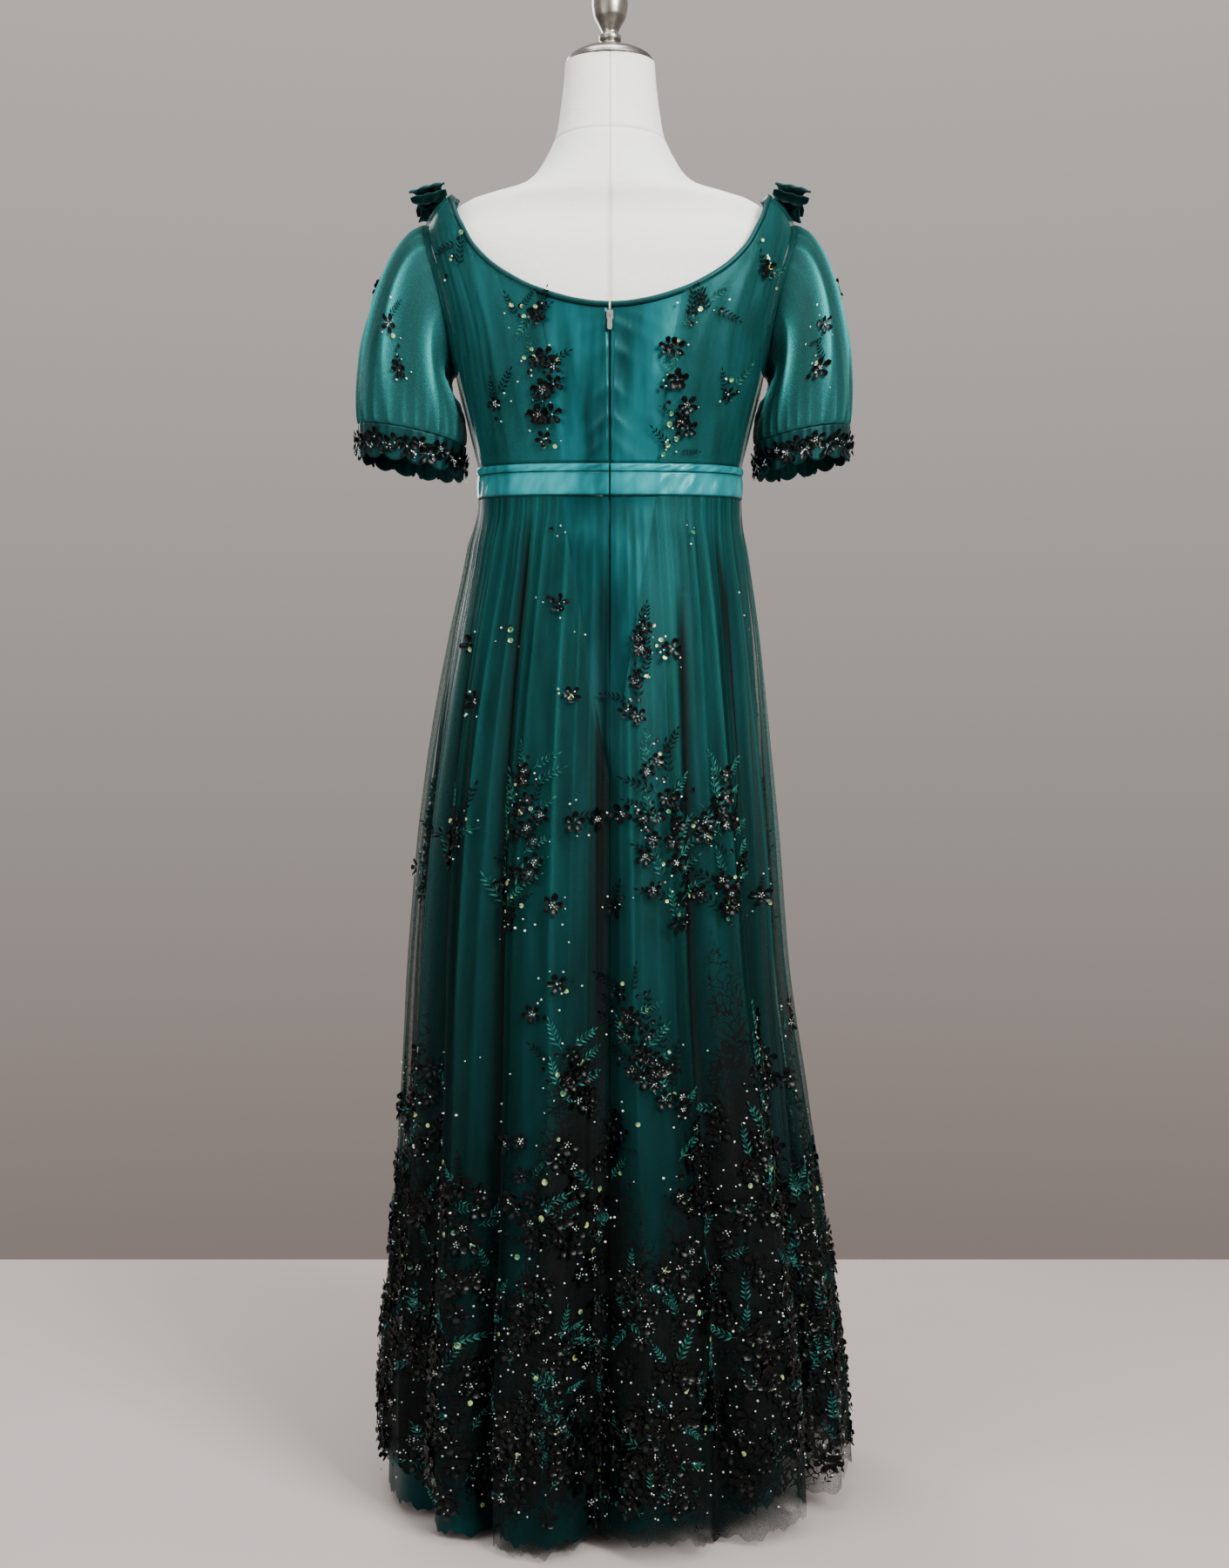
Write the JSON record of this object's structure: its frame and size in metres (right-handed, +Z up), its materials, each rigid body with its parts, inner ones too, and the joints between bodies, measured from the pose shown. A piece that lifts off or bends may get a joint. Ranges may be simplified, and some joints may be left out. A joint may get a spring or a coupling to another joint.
{
  "type": "regency gown on dress form",
  "caption": "Empire-line satin gown with embroidered net overdress, puffed sleeves and centre-back zip, worn by a limbless dress form with pole and round foot.",
  "frame": {"origin": "on the floor at the centre of the stand's foot, under the pole", "axes": "+Z up along the pole; the gown's front faces -Y and its zip is at +Y; +X is the wearer's left"},
  "size_m": [0.5497, 0.5016, 1.686],
  "materials": {
    "satin": "deep teal satin with a soft gloss",
    "net": "fine teal net embroidered with dark sequin flowers, bright beads and leaf sprays",
    "beaded_lace": "dark scalloped lace edged with beads",
    "binding": "dark teal satin bias strip",
    "band_satin": "light teal satin",
    "velvet": "dark green ribbon velvet",
    "linen": "off-white plain-weave linen",
    "zip_metal": "polished nickel plate",
    "antique_nickel": "satin nickel",
    "foot_metal": "dark hammered paint"
  },
  "bodies": {
    "root": {"bodice_back_left": "satin", "bodice_back_right": "satin", "bodice_front": "satin", "underskirt_back_left": "satin", "underskirt_back_right": "satin", "underskirt_front": "satin", "sleeve_left": "satin", "sleeve_right": "satin", "net_bodice_back_left": "net", "net_bodice_back_right": "net", "net_bodice_front": "net", "net_skirt_back_left": "net", "net_skirt_back_right": "net", "net_skirt_front": "net", "net_sleeve_left": "net", "net_sleeve_right": "net", "cuff_left": "beaded_lace", "cuff_right": "beaded_lace", "neck_binding_back_left": "binding", "neck_binding_back_right": "binding", "neck_binding_front": "binding", "zip_chain": "binding", "zip_slider": "zip_metal", "waist_piping_back_left": "band_satin", "waist_piping_back_right": "band_satin", "waist_piping_front": "band_satin", "waistband_back_left": "band_satin", "waistband_back_right": "band_satin", "waistband_front": "band_satin", "bow_left_back_loop": "velvet", "bow_left_front_loop": "velvet", "bow_left_knot": "velvet", "bow_right_back_loop": "velvet", "bow_right_front_loop": "velvet", "bow_right_knot": "velvet", "form_torso": "linen", "form_finial": "antique_nickel", "stand_pole": "antique_nickel", "stand_foot": "foot_metal"},
    "pull": {"zip_pull": "zip_metal"}
  },
  "joints": [
    {"name": "zip_pull_hinge", "type": "hinge", "parent": "root", "child": "pull", "pos_m": [0, 0.10965, 1.2633], "axis": [1, 0, 0], "range_deg": [0, 150]}
  ]
}
